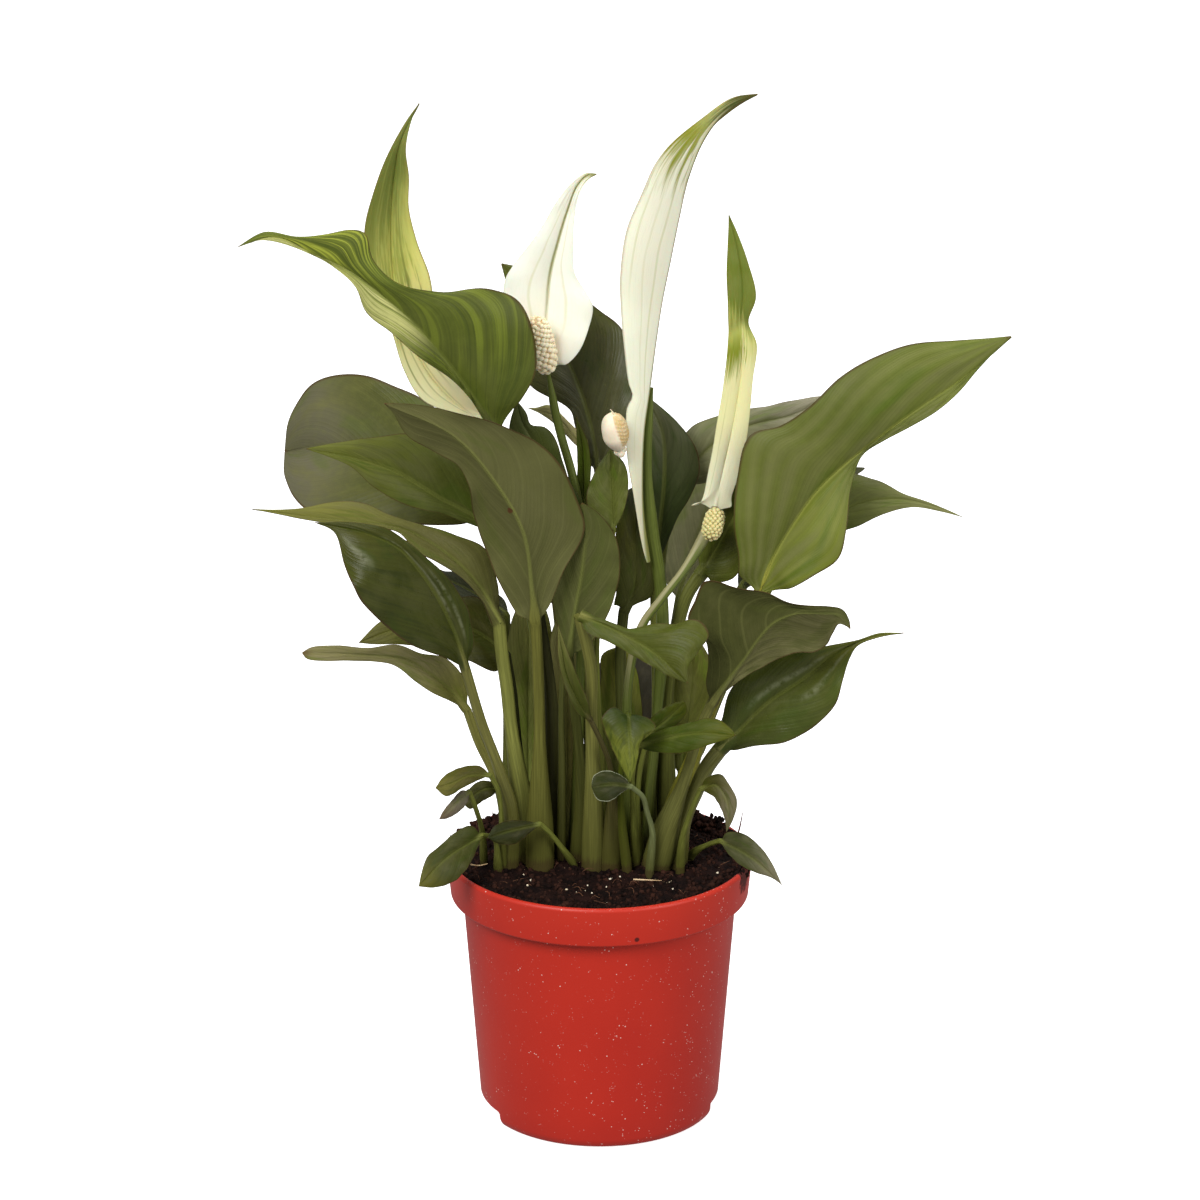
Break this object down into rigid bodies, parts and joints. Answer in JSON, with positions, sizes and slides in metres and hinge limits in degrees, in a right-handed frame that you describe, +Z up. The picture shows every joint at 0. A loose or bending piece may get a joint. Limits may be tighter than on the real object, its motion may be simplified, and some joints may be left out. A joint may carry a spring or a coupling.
{
  "type": "potted peace lily",
  "caption": "Peace lily in a tapered nursery pot: arching leaves on sheathed petioles and white to green flower spathes, each with a floret-covered spadix.",
  "frame": {"origin": "Centre of the flat underside of the pot, on the pot's axis.", "axes": "+Z up along the pot axis. -Y faces the viewer of the pictured side. +X to that viewer's right."},
  "size_m": [0.2172, 0.1429, 0.3059],
  "materials": {
    "pot": "satin red injection-moulded plastic",
    "soil": "moist crumbly peat potting soil with pale specks",
    "leaf": "waxy green leaf blade and petiole, glossy above, dull below",
    "stem": "smooth light green stem",
    "spathe": "soft white to yellow-green spathe",
    "spadix": "cream spadix with close rows of small florets"
  },
  "bodies": {
    "root": {"pot": "pot", "soil": "soil", "leaf_left_tall": "leaf", "leaf_left_broad": "leaf", "leaf_left_inner": "leaf", "leaf_left_long": "leaf", "leaf_left_glossy": "leaf", "leaf_mid_dull": "leaf", "leaf_left_cut": "leaf", "leaf_left_low": "leaf", "leaf_striped": "leaf", "leaf_back_mid": "leaf", "leaf_back_right": "leaf", "leaf_back_sliver": "leaf", "leaf_blade_young": "leaf", "leaf_curled_mid": "leaf", "leaf_right_large": "leaf", "leaf_right_back": "leaf", "leaf_right_dark": "leaf", "leaf_right_dull": "leaf", "leaf_right_glossy": "leaf", "leaf_mid_bright": "leaf", "leaf_mid_hanging": "leaf", "leaf_mid_right": "leaf", "leaf_mid_small": "leaf", "leaf_mid_curled": "leaf", "leaf_rolled": "leaf", "leaf_low_left_1": "leaf", "leaf_low_left_2": "leaf", "leaf_rim_left": "leaf", "leaf_low_mid": "leaf", "leaf_low_right": "leaf", "leaf_rim_right": "leaf", "leaf_inner_left": "leaf", "leaf_inner_mid": "leaf", "leaf_inner_right": "leaf", "leaf_inner_far": "leaf", "leaf_mid_back": "leaf", "leaf_back_strip": "leaf", "leaf_back_low": "leaf", "leaf_low_left_3": "leaf", "leaf_rear_1": "leaf", "leaf_rear_2": "leaf", "leaf_rear_3": "leaf", "leaf_rear_4": "leaf", "leaf_rear_5": "leaf", "leaf_rear_6": "leaf", "stem_tall_left": "stem", "stem_white": "stem", "stem_tallest": "stem", "stem_green": "stem", "spathe_tall_left": "spathe", "spathe_white": "spathe", "spathe_tallest": "spathe", "spathe_green": "spathe", "spadix_tall_left": "spadix", "spadix_white": "spadix", "spadix_tallest": "spadix", "spadix_green": "spadix"}
  },
  "joints": []
}
